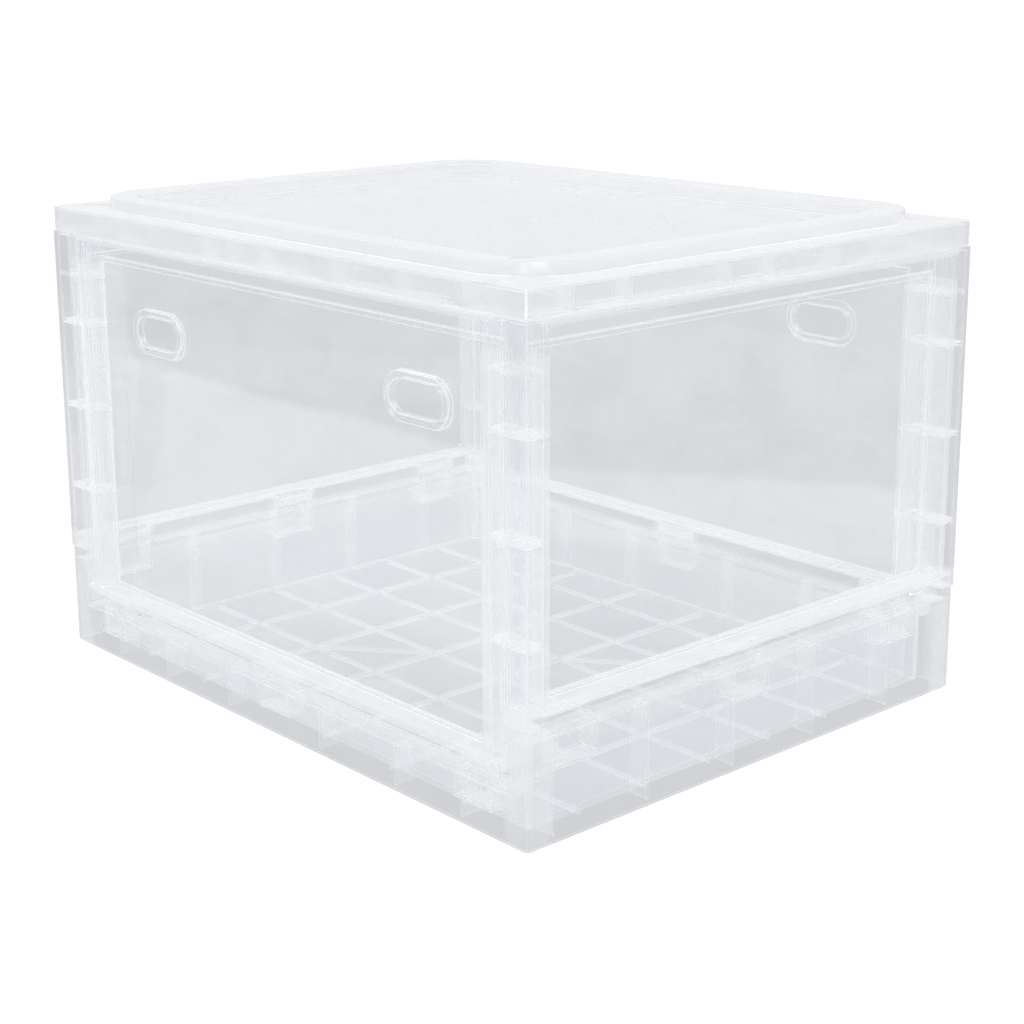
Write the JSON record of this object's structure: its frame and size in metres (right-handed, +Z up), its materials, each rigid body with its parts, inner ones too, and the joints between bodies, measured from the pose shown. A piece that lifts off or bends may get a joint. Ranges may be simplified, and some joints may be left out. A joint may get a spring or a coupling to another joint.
{
  "type": "shoe box",
  "caption": "Folding clear plastic shoe box: double-walled tray, four framed clear walls on hinges along its rims, finger slots, and a lift-off lid with a raised oblong ring.",
  "frame": {"origin": "centre of the footprint, on the floor plane under the tray's rim", "axes": "+X along the box's long side, +Y along its short side towards the wall with the higher hinge ledge, +Z up"},
  "size_m": [0.43, 0.3428, 0.287],
  "materials": {
    "frosted_pp": "frosted translucent",
    "frosted_lid_pp": "milky translucent",
    "clear_pane": "clear, glossy"
  },
  "bodies": {
    "tray": {"base_tray": "frosted_pp", "right_wall_frame": "frosted_pp", "right_wall_pane": "clear_pane", "left_wall_frame": "frosted_pp", "left_wall_pane": "clear_pane"},
    "front_wall": {"front_wall_frame": "frosted_pp", "front_wall_pane": "clear_pane"},
    "back_wall": {"back_wall_frame": "frosted_pp", "back_wall_pane": "clear_pane"},
    "lid": {"lid_frame": "frosted_lid_pp", "lid_panel": "clear_pane"}
  },
  "joints": [
    {"name": "front_wall_fold", "type": "hinge", "parent": "tray", "child": "front_wall", "pos_m": [0, -0.161, 0.033], "axis": [-1, 0, 0], "range_deg": [0, 90]},
    {"name": "back_wall_fold", "type": "hinge", "parent": "tray", "child": "back_wall", "pos_m": [0, 0.161, 0.051], "axis": [1, 0, 0], "range_deg": [0, 90]},
    {"name": "lid_lift", "type": "slide", "parent": "tray", "child": "lid", "axis": [0, 0, 1], "range_m": [0, 0.12]}
  ]
}
